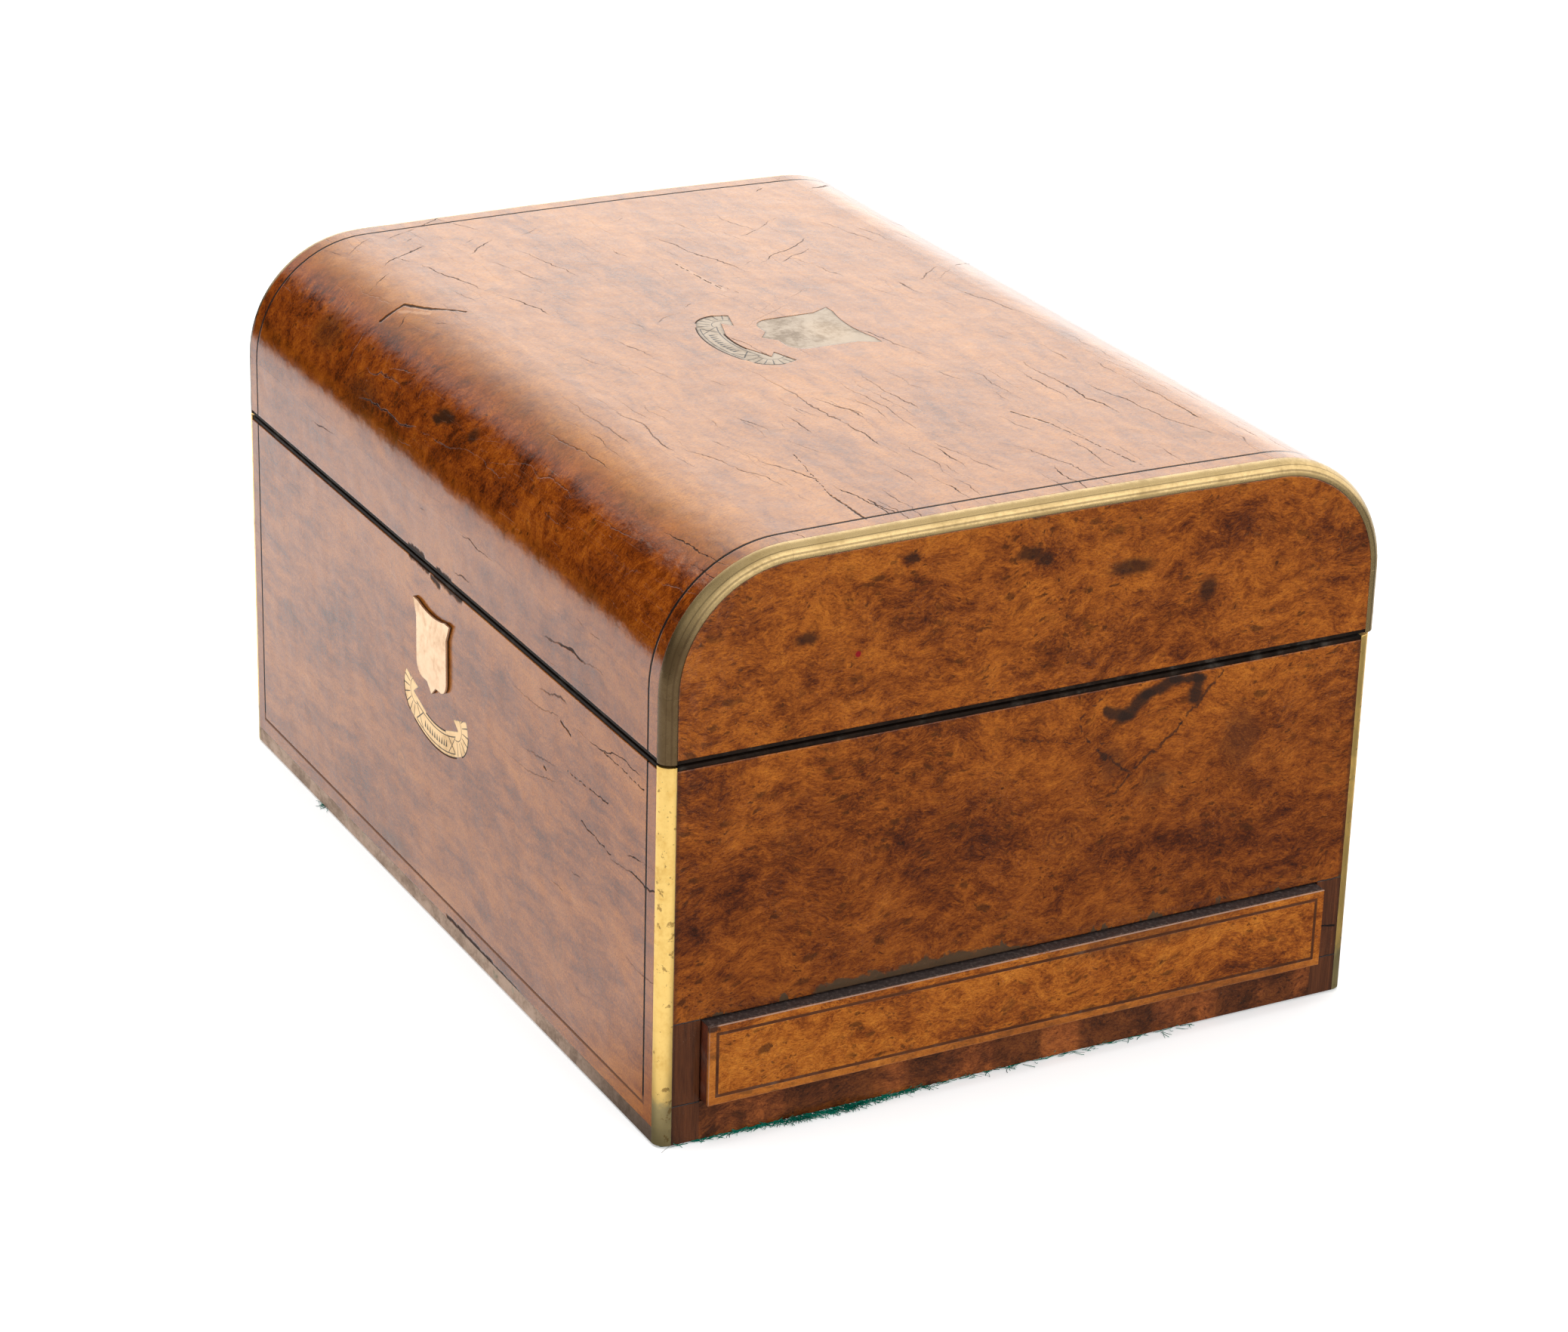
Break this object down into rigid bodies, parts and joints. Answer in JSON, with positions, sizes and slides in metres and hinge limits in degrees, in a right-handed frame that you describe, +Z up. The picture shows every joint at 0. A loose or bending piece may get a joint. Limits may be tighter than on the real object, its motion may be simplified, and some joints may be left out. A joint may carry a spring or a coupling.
{
  "type": "travelling dressing case",
  "caption": "Veneered box with a round-cornered hinged lid, brass edging, mirror, fitted tray, glass jars and a sprung end drawer.",
  "frame": {"origin": "centre of the case's underside, on the baize face that it stands on", "axes": "+Z up; front with the keyhole cover towards -Y; the drawer slides out towards +X"},
  "size_m": [0.3095, 0.2335, 0.174],
  "materials": {
    "walnut_burr": "French polished burr",
    "carcass": "planed, unpolished",
    "ebony": "polished",
    "mahogany": "oiled",
    "brass": "aged, worn bright at the corners",
    "dull_brass": "tarnished",
    "copper_brass": "polished",
    "steel": "satin",
    "silver": "polished silver plate",
    "cut_glass": "clear",
    "mirror_plate": "silvered",
    "velvet": "short pile",
    "baize": "felted"
  },
  "bodies": {
    "case": {"front_board": "carcass", "back_board": "carcass", "left_board": "carcass", "right_board": "carcass", "bottom_board": "carcass", "dust_board": "carcass", "drawer_runners": "carcass", "front_veneer": "walnut_burr", "front_stringing": "ebony", "back_veneer": "walnut_burr", "left_veneer": "walnut_burr", "right_veneer": "walnut_burr", "corner_brass": "brass", "foot_brass": "dull_brass", "base_rim": "ebony", "baize": "baize", "lock_case": "brass", "front_ribbon": "brass", "hinge_base_leaves": "brass", "hinge_pins": "brass", "hinge_base_screws": "brass", "floor_velvet": "velvet", "partitions": "mahogany", "tray": "mahogany", "tray_velvet": "velvet", "square_jars": "cut_glass", "square_jar_covers": "silver", "scent_bottles": "cut_glass", "scent_bottle_caps": "silver", "long_boxes": "cut_glass", "long_box_covers": "silver", "pin_guides": "brass", "kick_spring": "steel"},
    "lid": {"lid_rails": "carcass", "lid_staves": "carcass", "lid_top_board": "carcass", "lid_end_boards": "carcass", "lid_veneer": "walnut_burr", "lid_stringing": "ebony", "lid_end_veneers": "walnut_burr", "lid_edge_brass": "brass", "lid_rim": "ebony", "lid_cartouche": "brass", "hinge_lid_leaves": "brass", "hinge_lid_screws": "brass", "lock_strike": "brass", "mirror_frame": "mahogany", "mirror_glass": "mirror_plate", "mirror_back": "carcass"},
    "drawer": {"drawer_front": "mahogany", "drawer_veneer": "walnut_burr", "drawer_stringing": "ebony", "drawer_sides": "mahogany", "drawer_back": "mahogany", "drawer_bottom": "mahogany", "drawer_velvet": "velvet", "ring_rolls": "velvet"},
    "keyhole_cover": {"keyhole_cover": "copper_brass"},
    "release_pin": {"release_pin": "brass"},
    "lock_bolt": {"lock_bolt": "steel"}
  },
  "joints": [
    {"name": "lid_hinge", "type": "hinge", "parent": "case", "child": "lid", "pos_m": [0, 0.1161, 0.1158], "axis": [-1, 0, 0], "range_deg": [0, 95]},
    {"name": "drawer_slide", "type": "slide", "parent": "case", "child": "drawer", "axis": [1, 0, 0], "range_m": [-0.0045, 0.19], "deforming": ["kick_spring"]},
    {"name": "keyhole_cover_pivot", "type": "hinge", "parent": "case", "child": "keyhole_cover", "pos_m": [-0.001, -0.114, 0.0995], "axis": [0, 1, 0], "range_deg": [-90, 90]},
    {"name": "release_pin_slide", "type": "slide", "parent": "case", "child": "release_pin", "axis": [0, 0, 1], "range_m": [0, 0.006]},
    {"name": "lock_bolt_slide", "type": "slide", "parent": "case", "child": "lock_bolt", "axis": [1, 0, 0], "range_m": [0, 0.0028]}
  ]
}
